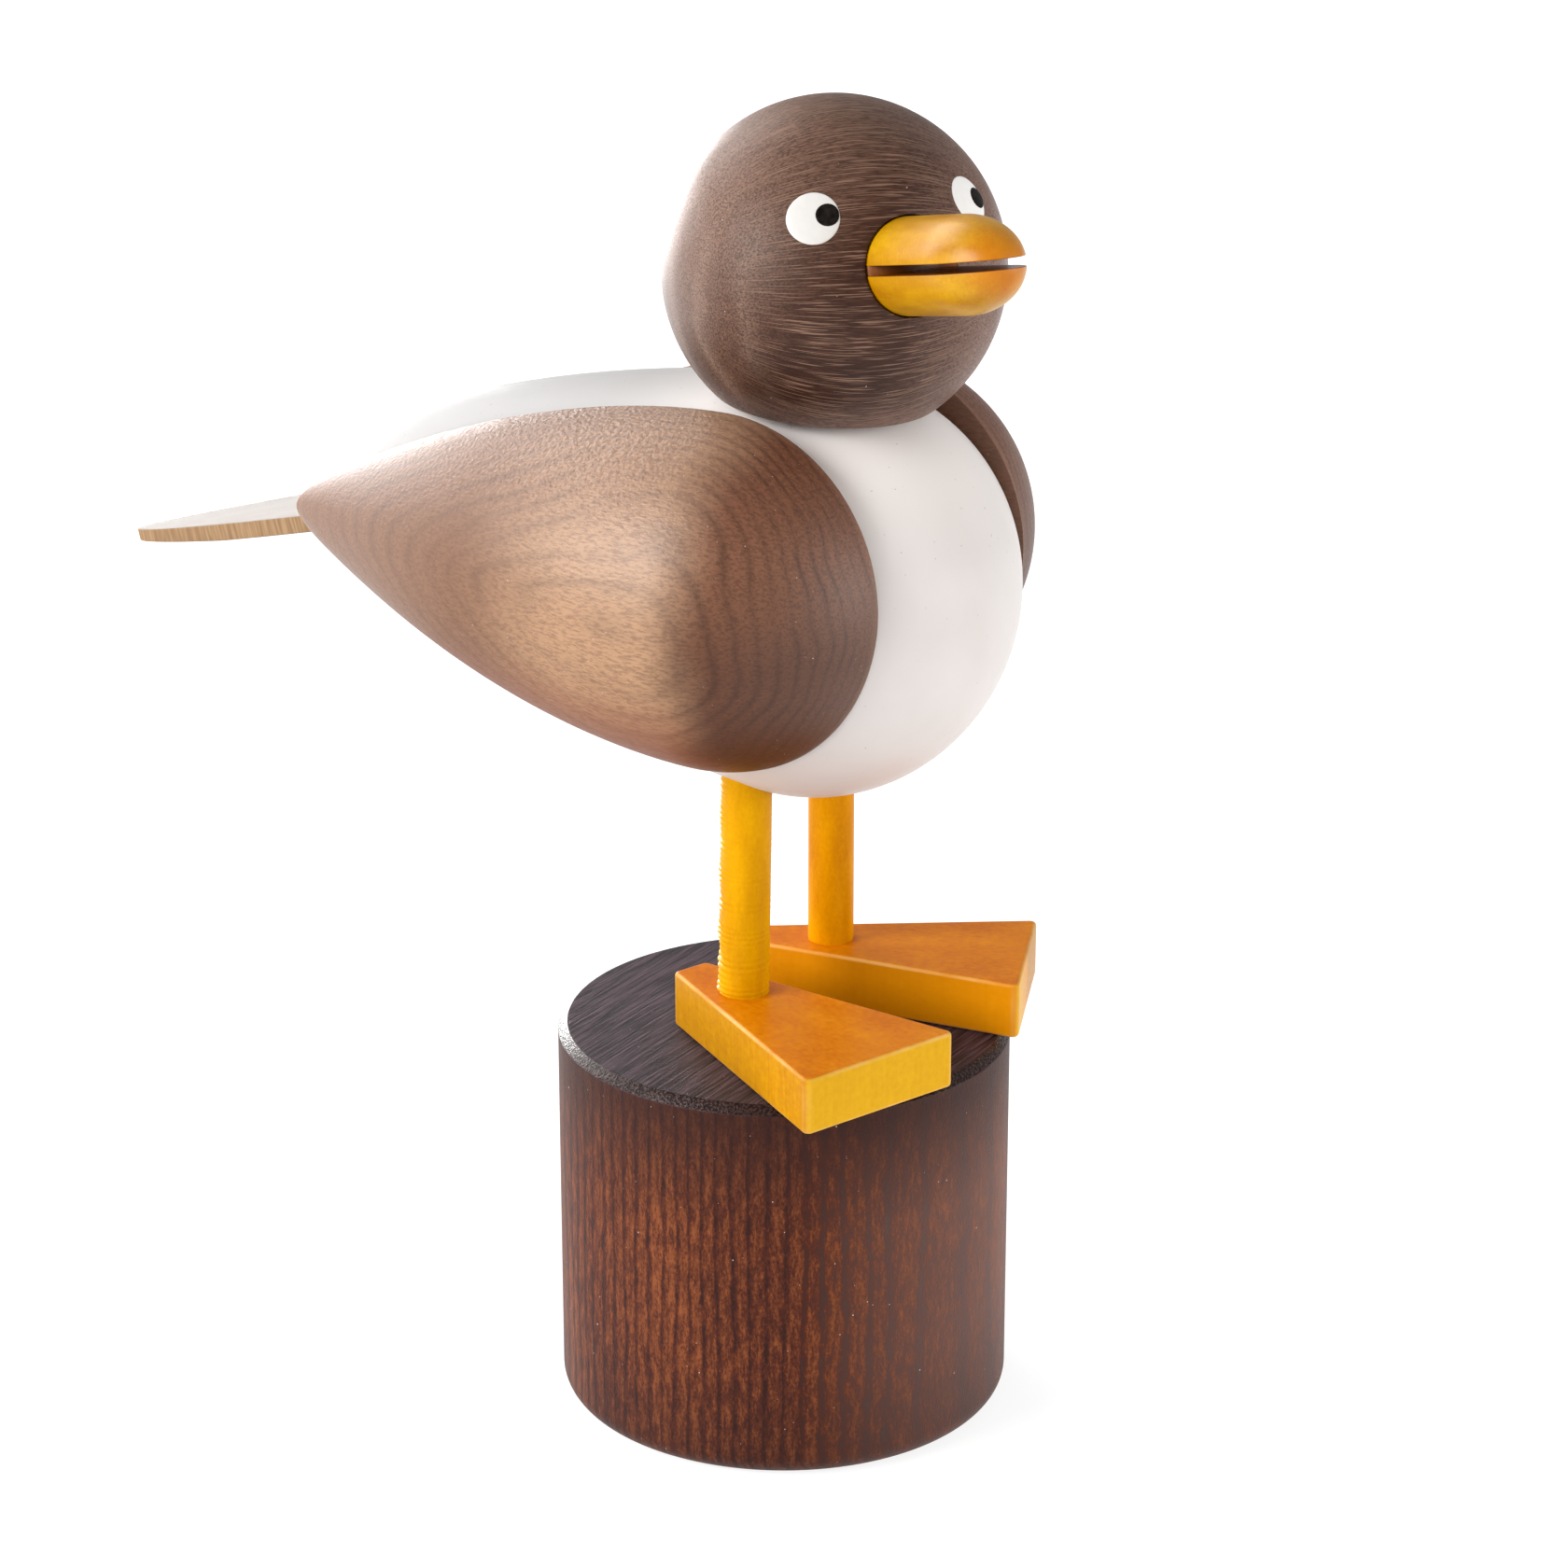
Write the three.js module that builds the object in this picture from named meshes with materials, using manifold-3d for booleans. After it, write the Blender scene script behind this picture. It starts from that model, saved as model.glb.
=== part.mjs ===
// A wooden seagull on a round stand, turned, sawn and glued from eleven pieces of wood.
// Millimetres, +Z up. The origin is the centre of the stand's underside, and the bird's
// breast faces -Y, so +X is the bird's left side.

import * as THREE from 'three';
import { mergeVertices } from 'three/addons/utils/BufferGeometryUtils.js';
import Module from 'manifold-3d';

// Driving dimensions

const GAP = 0.3; // kept between two pieces that are glued or plugged together

const STAND = { radius: 27.5, height: 48.5, topChamfer: 1.1, bottomRound: 3 };

// The feet and legs aren't quite alike, as cut and drilled by hand. toeSkew is how much
// shorter a foot is at the left end of its toe edge.
const FOOT = {
  thickness: 6.6, length: 35.6, heelWidth: 5, toeWidth: { right: 22.8, left: 22 },
  toeSkew: { right: 0, left: 0.9 }, cornerRound: 0.8, arris: 0.35, heelSide: 6.5, heelBack: 9.4,
  splay: { right: 19.4, left: 20 },
};

const LEG = {
  socketInFoot: 4, top: 88, radius: { right: 3, left: 2.8 },
  side: { right: -9.5, left: 10.5 }, forward: { right: 0.15, left: 0.4 },
  leanForward: { right: 1, left: 0 },
};

// An egg is turned about its long axis. Its front half is an ellipse. Behind the widest
// place its radius falls as (1 - (distance / back) ^ fullness) ^ roundness, and it's
// rounded off at its end by a factor (1 - (distance / end) ^ bluntness) ^ 0.5.
const BODY = {
  radius: 24.8, front: 23.5, back: 67.4, fullness: 1.405, roundness: 0.55, end: 67.2,
  bluntness: 100, widestForward: 4.8, axisHeight: 104.1, tailLift: 3.3,
};

// A wing is a slice of a turned egg, sawn off a little outside the turning axis. This egg
// is the outline of the sawn face. The two wings aren't glued on quite alike.
const WING = {
  radius: 21.05, front: 20.9, back: 62.5, fullness: 1.78, roundness: 0.94, end: 59.9,
  bluntness: 45, sawnOutsideAxis: 2.7, faceSide: 17.2, widestForward: 1.7,
  axisHeight: 107.5, lean: 3.3, tailLift: { right: 1.2, left: -3.6 },
};

const HEAD = { radius: 19.8, forward: 6.7, centreHeight: 142.4, flatBelow: 15.2, seatTilt: 4, turn: -32.3 };

// The beak's distances are along its axis, from the head's centre.
const BEAK = {
  radius: 5.5, reach: 40.9, tipLength: 9.4, socketBottom: 15, lift: 12.7, kerf: 1.1, kerfBottom: 19.4,
};

// The tail's underside is planed up towards its tip.
const TAIL = {
  thickness: 2.2, tipThickness: 1.6, planedFrom: 19, rootBack: 60, topHeight: 105.7,
  droop: 15.3, length: 38, inSlot: 9, tipHalfWidth: 4.3, flare: 0.16, tipFullness: 3.7,
};

const SIDES = { right: -1, left: 1 };

const FINISH = {
  brownStain: { color: 0x6b4f43, roughness: 0.5 },
  darkStain: { color: 0x4d2f24, roughness: 0.55 },
  yellowStain: { color: 0xe3a01c, roughness: 0.42 },
  whiteLacquer: { color: 0xe9e3df, roughness: 0.4 },
};

const CUTTER = 200; // side of a cutting block, longer than anything it cuts

const wasm = await Module();
wasm.setup();

// Placing and cutting

const radians = THREE.MathUtils.degToRad;

function piece(name, geometry, finish) {
  const material = new THREE.MeshStandardMaterial({ ...FINISH[finish], metalness: 0 });
  const mesh = new THREE.Mesh(geometry, material);
  mesh.name = name;
  return mesh;
}

// A group that stands at a place, turned by Euler angles in degrees.
function frameAt(position, angles = [0, 0, 0], order = 'XYZ') {
  const frame = new THREE.Group();
  frame.position.set(...position);
  frame.rotation.set(...angles.map(radians), order);
  frame.updateMatrixWorld();
  return frame;
}

// A cutter's geometry, moved from its frame to where it stands in the whole object.
function cutterIn(frame, geometry) {
  return geometry.applyMatrix4(frame.matrixWorld);
}

// A cutting block that takes away what lies further than a distance along a direction.
function blockBeyond(frame, direction, distance) {
  const centre = new THREE.Vector3(...direction).multiplyScalar(distance + CUTTER / 2);
  const block = new THREE.BoxGeometry(CUTTER, CUTTER, CUTTER).translate(...centre.toArray());
  return cutterIn(frame, block);
}

function solidFrom(geometry) {
  const bare = geometry.clone();
  bare.deleteAttribute('normal');
  bare.deleteAttribute('uv');
  const merged = mergeVertices(bare);
  return new wasm.Manifold(new wasm.Mesh({
    numProp: 3,
    vertProperties: new Float32Array(merged.attributes.position.array),
    triVerts: new Uint32Array(merged.index.array),
  }));
}

function geometryFrom(solid) {
  const { vertProperties, triVerts } = solid.getMesh();
  const geometry = new THREE.BufferGeometry();
  geometry.setAttribute('position', new THREE.BufferAttribute(vertProperties, 3));
  geometry.setIndex(new THREE.BufferAttribute(triVerts, 1));
  geometry.computeVertexNormals();
  return geometry;
}

// Cuts the cutters out of a mesh that already stands in its frame.
function carve(mesh, cutters) {
  mesh.updateWorldMatrix(true, false);
  const toMesh = mesh.matrixWorld.clone().invert();
  const rest = cutters.reduce(
    (solid, cutter) => solid.subtract(solidFrom(cutter.clone().applyMatrix4(toMesh))),
    solidFrom(mesh.geometry),
  );
  mesh.geometry = geometryFrom(rest);
}

// Shapes

// Stations along an egg from its front tip to its back tip, each [radius, distance back].
function eggStations(egg, frontSteps, backSteps) {
  const front = Array.from({ length: frontSteps }, (_, i) => {
    const angle = (i / frontSteps) * (Math.PI / 2);
    return [egg.radius * Math.sin(angle), -egg.front * Math.cos(angle)];
  });
  const back = Array.from({ length: backSteps + 1 }, (_, i) => {
    const along = Math.sin((i / backSteps) * (Math.PI / 2));
    const distance = egg.end * along;
    const fall = (1 - (distance / egg.back) ** egg.fullness) ** egg.roundness;
    return [egg.radius * fall * Math.sqrt(1 - along ** egg.bluntness), distance];
  });
  return [...front, ...back];
}

// A solid turned about the Y axis from an outline of [radius, y] points.
function turned(outline, segments) {
  return new THREE.LatheGeometry(outline.map((point) => new THREE.Vector2(...point)), segments);
}

// An arc as [x, y] points, from one angle to another, both ends included.
function arc(centreX, centreY, radiusX, radiusY, fromAngle, toAngle, steps) {
  return Array.from({ length: steps + 1 }, (_, i) => {
    const angle = radians(fromAngle + ((toAngle - fromAngle) * i) / steps);
    return [centreX + radiusX * Math.cos(angle), centreY + radiusY * Math.sin(angle)];
  });
}

// A closed skin over rings of equal length, drawn to a point at each end.
function skin(startPoint, rings, endPoint, insideOut) {
  const count = rings[0].length;
  const triangles = [];
  const lastTip = 1 + rings.length * count;
  const at = (ring, step) => 1 + ring * count + (step % count);
  for (let step = 0; step < count; step += 1) {
    triangles.push([0, at(0, step + 1), at(0, step)]);
    for (let ring = 0; ring + 1 < rings.length; ring += 1) {
      triangles.push([at(ring, step), at(ring, step + 1), at(ring + 1, step)]);
      triangles.push([at(ring, step + 1), at(ring + 1, step + 1), at(ring + 1, step)]);
    }
    triangles.push([at(rings.length - 1, step), at(rings.length - 1, step + 1), lastTip]);
  }
  if (insideOut) triangles.forEach((triangle) => triangle.reverse());
  const geometry = new THREE.BufferGeometry();
  const points = [startPoint, ...rings.flat(), endPoint].flat();
  geometry.setAttribute('position', new THREE.Float32BufferAttribute(points, 3));
  geometry.setIndex(triangles.flat());
  geometry.computeVertexNormals();
  return geometry;
}

// A flat outline with its corners rounded, as a shape.
function roundedShape(corners, radius) {
  const points = corners.map((corner) => new THREE.Vector2(...corner));
  const shape = new THREE.Shape();
  points.forEach((corner, i) => {
    const towards = (other) => other.clone().sub(corner).setLength(radius).add(corner);
    const start = towards(points.at(i - 1));
    const end = towards(points[(i + 1) % points.length]);
    if (i === 0) shape.moveTo(start.x, start.y);
    else shape.lineTo(start.x, start.y);
    shape.quadraticCurveTo(corner.x, corner.y, end.x, end.y);
  });
  shape.closePath();
  return shape;
}

// Stand

function standGeometry() {
  const { radius, height, topChamfer, bottomRound } = STAND;
  const outline = [
    [0, 0],
    ...arc(radius - bottomRound, bottomRound, bottomRound, bottomRound, -90, 0, 6),
    [radius, height - topChamfer],
    [radius - topChamfer, height],
    [0, height],
  ];
  return turned(outline, 72).rotateX(Math.PI / 2);
}

// Feet and legs

const footBase = STAND.height + GAP;
const footTop = footBase + FOOT.thickness;
const legBottom = footTop - LEG.socketInFoot;

function footGeometry(side) {
  const { length, heelWidth, thickness, cornerRound, arris } = FOOT;
  const toeWidth = FOOT.toeWidth[side];
  const corners = [
    [-heelWidth / 2, 0],
    [-toeWidth / 2, -length],
    [toeWidth / 2, FOOT.toeSkew[side] - length],
    [heelWidth / 2, 0],
  ];
  return new THREE.ExtrudeGeometry(roundedShape(corners, cornerRound), {
    depth: thickness - 2 * arris,
    curveSegments: 4,
    bevelSize: arris,
    bevelThickness: arris,
    bevelOffset: -arris,
    bevelSegments: 1,
  }).translate(0, 0, arris);
}

// A leg's frame stands where the leg's axis meets the foot's top, with the axis along Z.
function legFrame(side) {
  return frameAt([LEG.side[side], -LEG.forward[side], footTop], [LEG.leanForward[side], 0, 0]);
}

// A leg, or with some room around it the socket that it needs in the foot and the body.
function legGeometry(side, room) {
  const radius = LEG.radius[side] + room;
  const low = legBottom - footTop - room;
  const high = LEG.top - footTop + room;
  return new THREE.CylinderGeometry(radius, radius, high - low, 28)
    .rotateX(Math.PI / 2)
    .translate(0, 0, (low + high) / 2);
}

function legSocket(side) {
  return cutterIn(legFrame(side), legGeometry(side, GAP));
}

// Wings

function wingFrame(side) {
  const sign = SIDES[side];
  return frameAt(
    [sign * WING.faceSide, -WING.widestForward, WING.axisHeight],
    [WING.tailLift[side], -sign * WING.lean, 0],
    'YXZ',
  );
}

// Each ring is an arc of the turned egg. Its chord closes it and lies in the sawn face.
function wingGeometry(side) {
  const sign = SIDES[side];
  const offset = WING.sawnOutsideAxis;
  const rings = eggStations(WING, 9, 18).slice(1, -1).map(([halfChord, back]) => {
    const radius = Math.hypot(halfChord, offset);
    const reach = THREE.MathUtils.radToDeg(Math.atan2(halfChord, offset));
    return arc(-offset, 0, radius, radius, -reach, reach, 14).map(([out, up]) => [sign * out, back, up]);
  });
  return skin([0, -WING.front, 0], rings, [0, WING.end, 0], sign > 0);
}

// Tail

const tailFrame = frameAt([0, TAIL.rootBack, TAIL.topHeight], [-TAIL.droop, 0, 0]);

// The tongue narrows evenly from its root and ends in a flat curve.
function tailGeometry() {
  const { length, tipHalfWidth, flare, tipFullness, inSlot, thickness } = TAIL;
  const rootHalfWidth = tipHalfWidth + flare * length;
  const edge = Array.from({ length: 19 }, (_, i) => {
    const along = length * Math.sin((i / 18) * (Math.PI / 2));
    const rounding = Math.sqrt(Math.max(1 - (along / length) ** tipFullness, 0));
    return [(tipHalfWidth + flare * (length - along)) * rounding, along];
  });
  const rightEdge = edge.slice(0, -1).reverse().map(([x, y]) => [-x, y]);
  const outline = [[rootHalfWidth, -inSlot], ...edge, ...rightEdge, [-rootHalfWidth, -inSlot]];
  const shape = new THREE.Shape(outline.map((point) => new THREE.Vector2(...point)));
  return new THREE.ExtrudeGeometry(shape, { depth: thickness, bevelEnabled: false }).translate(0, 0, -thickness);
}

// The wood that is planed off below the tip.
function tailPlane() {
  const slope = Math.atan2(TAIL.thickness - TAIL.tipThickness, TAIL.length - TAIL.planedFrom);
  const waste = new THREE.BoxGeometry(CUTTER, CUTTER, CUTTER)
    .translate(0, 0, -CUTTER / 2)
    .rotateX(slope)
    .translate(0, TAIL.planedFrom, -TAIL.thickness);
  return cutterIn(tailFrame, waste);
}

// The saw slot in the body that takes the tail's root.
function tailSlot() {
  const height = TAIL.thickness + 2 * GAP;
  const slot = new THREE.BoxGeometry(CUTTER, CUTTER, height)
    .translate(0, CUTTER / 2 - TAIL.inSlot - GAP, -TAIL.thickness / 2);
  return cutterIn(tailFrame, slot);
}

// Head and beak

const headPlace = [0, -HEAD.forward, HEAD.centreHeight];
const headFrame = frameAt(headPlace, [0, 0, HEAD.turn]);
const seatFrame = frameAt(headPlace, [HEAD.seatTilt, 0, 0]);
const beakFrame = frameAt(headPlace, [-BEAK.lift, 0, HEAD.turn], 'ZYX');

// The beak points along -Y of its frame, and its tip is half an ellipsoid.
function beakGeometry() {
  const { radius, reach, tipLength, socketBottom } = BEAK;
  const outline = [
    ...arc(0, tipLength - reach, radius, tipLength, -90, 0, 8),
    [radius, -socketBottom - GAP],
    [0, -socketBottom - GAP],
  ];
  outline[0][0] = 0;
  return turned(outline, 32);
}

function mouthKerf() {
  const kerf = new THREE.BoxGeometry(CUTTER, CUTTER, BEAK.kerf)
    .translate(0, -BEAK.kerfBottom - CUTTER / 2, 0);
  return cutterIn(beakFrame, kerf);
}

function beakSocket() {
  const radius = BEAK.radius + GAP;
  const room = new THREE.CylinderGeometry(radius, radius, BEAK.socketBottom, 32)
    .translate(0, -1.5 * BEAK.socketBottom, 0);
  return cutterIn(beakFrame, room);
}

// Assembly

const seagull = new THREE.Group();

seagull.add(piece('stand', standGeometry(), 'darkStain'));

for (const [side, sign] of Object.entries(SIDES)) {
  const heel = [sign * FOOT.heelSide, FOOT.heelBack, footBase];
  const footFrame = frameAt(heel, [0, 0, sign * FOOT.splay[side]]);
  const foot = piece(`foot_${side}`, footGeometry(side), 'yellowStain');
  footFrame.add(foot);
  carve(foot, [legSocket(side)]);

  const leg = legFrame(side);
  leg.add(piece(`leg_${side}`, legGeometry(side, 0), 'yellowStain'));

  const wing = wingFrame(side);
  wing.add(piece(`wing_${side}`, wingGeometry(side), 'brownStain'));

  seagull.add(footFrame, leg, wing);
}

const body = piece('body', turned(eggStations(BODY, 12, 22), 48), 'whiteLacquer');
body.position.set(0, -BODY.widestForward, BODY.axisHeight);
body.rotation.x = radians(BODY.tailLift);
carve(body, [
  ...Object.keys(SIDES).map((side) => blockBeyond(wingFrame(side), [SIDES[side], 0, 0], -GAP)),
  ...Object.keys(SIDES).map(legSocket),
  blockBeyond(seatFrame, [0, 0, 1], -HEAD.flatBelow - GAP),
  tailSlot(),
]);
seagull.add(body);

const tail = piece('tail', tailGeometry(), 'whiteLacquer');
tailFrame.add(tail);
carve(tail, [tailPlane()]);
seagull.add(tailFrame);

const head = piece('head', new THREE.SphereGeometry(HEAD.radius, 40, 22), 'brownStain');
headFrame.add(head);
carve(head, [blockBeyond(seatFrame, [0, 0, -1], HEAD.flatBelow), beakSocket()]);

const beak = piece('beak', beakGeometry(), 'yellowStain');
beakFrame.add(beak);
carve(beak, [mouthKerf()]);
seagull.add(headFrame, beakFrame);

export default seagull;
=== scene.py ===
"""A wooden seagull on a round stand: turned, sawn and glued wood, stained and lacquered.

Lengths are in millimetres until a mesh is made, and in metres in Blender. The origin is the
centre of the stand's underside, +Z is up and the bird's breast faces -Y, so +X is its left.
Each shape is worked out in a piece's own axes, and its material's patterns lie in them too.
"""

import math
from typing import NamedTuple

import bpy
import numpy as np
from mathutils import Matrix, Vector


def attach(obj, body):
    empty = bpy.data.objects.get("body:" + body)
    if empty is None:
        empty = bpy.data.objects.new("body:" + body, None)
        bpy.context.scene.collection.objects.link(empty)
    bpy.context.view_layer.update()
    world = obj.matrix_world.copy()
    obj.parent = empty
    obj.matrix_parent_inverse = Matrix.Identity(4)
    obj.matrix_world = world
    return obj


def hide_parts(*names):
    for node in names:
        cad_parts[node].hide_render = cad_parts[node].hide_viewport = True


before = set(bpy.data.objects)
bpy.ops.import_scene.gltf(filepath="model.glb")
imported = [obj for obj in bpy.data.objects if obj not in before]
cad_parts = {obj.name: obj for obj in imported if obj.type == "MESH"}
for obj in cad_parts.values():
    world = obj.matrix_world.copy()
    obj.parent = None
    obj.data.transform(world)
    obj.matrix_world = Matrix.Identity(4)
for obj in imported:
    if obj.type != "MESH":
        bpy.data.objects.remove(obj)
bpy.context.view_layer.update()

MM = 0.001
SIDES = {"right": -1, "left": 1}  # which way along X each side of the bird lies

# The camera and the light


def look_from(thing, position, target):
    """Stands a lamp or the camera at a position, looking at a target, both in metres."""
    thing.location = position
    thing.rotation_euler = (Vector(target) - Vector(position)).to_track_quat("-Z", "Y").to_euler()
    bpy.context.collection.objects.link(thing)


# The photograph's viewing angle and lens are worked out from the two rims of the stand.
camera = bpy.data.objects.new("camera", bpy.data.cameras.new("camera"))
camera.data.sensor_width = 36.0
camera.data.lens = 104.18
camera.data.clip_start = 0.01
look_from(camera, position=(-0.4369, -0.2625, 0.2635), target=(0, 0, 0.0786))
bpy.context.scene.camera = camera

# Each panel: where it stands, its width and height in metres, and how bright its face is, where
# 1 shows as white.
PANELS = {
    "left_panel": {"position": (-0.72, 0.45, 0.46), "size": (0.62, 0.56), "brightness": 10.0},
    "back_panel": {"position": (0.23, 0.88, 0.54), "size": (0.85, 0.80), "brightness": 3.9},
    "back_strip": {"position": (0.62, 0.80, 0.10), "size": (0.36, 0.20), "brightness": 22.0},
    "front_panel": {"position": (0.10, -0.92, 0.34), "size": (0.80, 0.50), "brightness": 2.2},
    "right_strip": {"position": (0.26, -0.60, 0.10), "size": (0.36, 0.18), "brightness": 5.0},
}
ROOM_BRIGHTNESS = 0.45
PANEL_TARGET = (0, 0, 0.09)

for panel_name, panel in PANELS.items():
    lamp = bpy.data.lights.new(panel_name, "AREA")
    lamp.shape = "RECTANGLE"
    lamp.size, lamp.size_y = panel["size"]
    lamp.energy = panel["brightness"] * math.pi * lamp.size * lamp.size_y
    look_from(bpy.data.objects.new(panel_name, lamp), panel["position"], PANEL_TARGET)

# The room is white all round, and the Standard view transform keeps its white pure.
room = bpy.data.worlds.new("white_room")
room.use_nodes = True
room.node_tree.nodes["Background"].inputs["Color"].default_value = (1, 1, 1, 1)
room.node_tree.nodes["Background"].inputs["Strength"].default_value = ROOM_BRIGHTNESS
bpy.context.scene.world = room
bpy.context.scene.view_settings.view_transform = "Standard"

# Sizes and places of the pieces, with lengths in millimetres and turns in degrees

STAND = {"radius": 27.5, "height": 48.5, "chamfer": 1.1, "bottom_round": 3.0, "soft_edge": 0.25}

FOOT = {
    "thickness": 6.9, "length": 35.6, "heel_width": 5.0, "corner_round": 0.8, "arris": 0.45,
    "heel_side": 6.5, "heel_back": 9.4,
    "right": {"toe_width": 22.8, "toe_skew": 0.0, "splay": 19.4},
    "left": {"toe_width": 22.0, "toe_skew": 0.9, "splay": 20.0},
}

# The cutter left a fine spiral on each dowel, and tore the wood on one side of the right one.
LEG = {
    "bottom": 51.4, "top": 88.0, "foot_top": 55.4, "spiral_pitch": 0.72, "torn_side": 121,
    "right": {"radius": 3.0, "side": -9.5, "forward": 0.15, "lean": 1.0, "chatter": 0.22},
    "left": {"radius": 2.8, "side": 10.5, "forward": 0.4, "lean": 0.0, "chatter": 0.006},
}

BODY = {
    "radius": 24.8, "front": 23.5, "back": 67.4, "fullness": 1.405, "roundness": 0.55,
    "end": 67.2, "bluntness": 100, "widest_forward": 4.8, "axis_height": 104.1, "tail_lift": 3.3,
}

WING = {
    "radius": 21.0, "front": 20.9, "back": 62.5, "fullness": 1.78, "roundness": 0.94,
    "end": 59.9, "bluntness": 45, "sawn_outside_axis": 2.7, "face_side": 17.2,
    "widest_forward": 1.7, "axis_height": 107.5, "lean": 3.3,
    "tail_lift": {"right": 1.2, "left": -3.9},
}

HEAD = {
    "radius": 19.8, "forward": 6.7, "height": 142.4, "flat_below": 15.2, "turn": -32.3,
    "seat_tilt": 4.0, "grain_turn": -45.0,
}

BEAK = {
    "radius": 5.5, "reach": 40.89, "tip_length": 9.4, "root": 15.3, "lift": 12.7,
    "kerf": 1.1, "kerf_bottom": 19.4, "root_gap": 0.1, "socket_bottom": 15.0, "socket_gap": 0.15,
}

TAIL = {
    "thickness": 2.2, "tip_thickness": 1.6, "planed_from": 19.0, "length": 38.0, "in_slot": 9.0,
    "tip_half_width": 4.3, "flare": 0.16, "tip_fullness": 3.7, "arris": 0.22,
    "root_back": 60, "top_height": 105.7, "droop": 15.3,
}

# Each painted eye: degrees round from the bird's front to its left, degrees up, and radius.
EYES = {
    "right": {"white": (-67.6, 29.3, 3.0), "pupil": (-62.3, 30.4, 1.3)},
    "left": {"white": (1.5, 30.0, 2.85), "pupil": (7.0, 29.3, 1.25)},
}
FILM = 0.1  # the thickness of one film of eye paint
BELOW_SKIN = -0.25  # how far the paint's closed back lies under the head's skin

# A flat face keeps its flat shading where a ring or an outline's side runs on this far before
# it bends.
FLAT_MARGIN = 0.2
FAR = 1e6  # a reach past everything, for a ray that misses a flat
GRAZING = 1e-3  # the least slope at which a ray is taken to meet a flat
NOTHING = 1e-6  # keeps a divisor or a softness from being 0


class Place(NamedTuple):
    """Where a piece's own axes stand in the whole figure."""

    position: np.ndarray
    turn: np.ndarray


def turned_about(axis, degrees):
    """The matrix of a turn about X, Y or Z."""
    c = math.cos(math.radians(degrees))
    s = math.sin(math.radians(degrees))
    matrices = {
        "X": [[1, 0, 0], [0, c, -s], [0, s, c]],
        "Y": [[c, 0, s], [0, 1, 0], [-s, 0, c]],
        "Z": [[c, -s, 0], [s, c, 0], [0, 0, 1]],
    }
    return np.array(matrices[axis])


def place(x, y, z, turn=None):
    """A place from a position and, where the piece isn't upright, a turn."""
    return Place(np.array([x, y, z], float), np.eye(3) if turn is None else turn)


def wing_place(side):
    """The wing's axis is Y, towards the tail, and lies in its flat on the body, across X."""
    turn = turned_about("Y", -SIDES[side] * WING["lean"]) @ turned_about("X", WING["tail_lift"][side])
    x = SIDES[side] * WING["face_side"]
    return place(x, -WING["widest_forward"], WING["axis_height"], turn)


def foot_place(side):
    """The foot's heel stands on the stand's top, and its toe points along -Y before the splay."""
    turn = turned_about("Z", SIDES[side] * FOOT[side]["splay"])
    return place(SIDES[side] * FOOT["heel_side"], FOOT["heel_back"], STAND["height"], turn)


def leg_place(side):
    """The leg's axis is Z, from the level of the foot's top, leaning a little."""
    leg = LEG[side]
    return place(leg["side"], -leg["forward"], LEG["foot_top"], turned_about("X", leg["lean"]))


def head_place(turn=None):
    """The middle of the head's ball, with a turn of its own for each thing that lies about it."""
    return place(0, -HEAD["forward"], HEAD["height"], turn)


HEAD_TURN = turned_about("Z", HEAD["turn"])
STAND_PLACE = place(0, 0, 0)
BODY_PLACE = place(
    0, -BODY["widest_forward"], BODY["axis_height"], turned_about("X", BODY["tail_lift"])
)
TAIL_PLACE = place(0, TAIL["root_back"], TAIL["top_height"], turned_about("X", -TAIL["droop"]))
HEAD_PLACE = head_place(HEAD_TURN)
GRAIN_PLACE = head_place(turned_about("Z", HEAD["grain_turn"]))
BEAK_PLACE = head_place(HEAD_TURN @ turned_about("X", -BEAK["lift"]))
EYE_PLACE = head_place()
SEAT_UP = turned_about("X", HEAD["seat_tilt"])[:, 2]

# Making a mesh from rings of points


def skin_over(rings):
    """The corners and faces of a closed skin over rings of points.

    The first and the last ring are drawn to a point each. A fan joins each of them to the next
    ring, and a strip of four-sided faces joins every two rings between.
    """
    count = rings.shape[1]
    inner = rings[1:-1]
    corners = np.vstack([rings[0].mean(0), inner.reshape(-1, 3), rings[-1].mean(0)])
    here = 1 + np.arange(count)
    beside = np.roll(here, -1)
    last = 1 + (len(inner) - 1) * count
    start = np.stack([np.zeros_like(here), beside, here], 1)
    end = np.stack([here + last - 1, beside + last - 1, np.full_like(here, len(corners) - 1)], 1)
    steps = count * np.arange(len(inner) - 1)[:, None]
    strip = np.stack([here + steps, beside + steps, beside + steps + count, here + steps + count], -1)
    strip = strip.reshape(-1, 4)
    triangles = np.vstack([start, end, strip[:, :3], strip[:, [0, 2, 3]]])
    a, b, c = (corners[triangles[:, i]] for i in range(3))
    inside_out = np.einsum("ij,ij->", a, np.cross(b, c)) < 0
    faces = [part[:, ::-1] if inside_out else part for part in (start, strip, end)]
    return corners, faces


def marks_over(values):
    """A mark's value at each corner of the skin, from its value at each point of the rings."""
    return np.concatenate([[values[0].mean()], values[1:-1].ravel(), [values[-1].mean()]])


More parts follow.
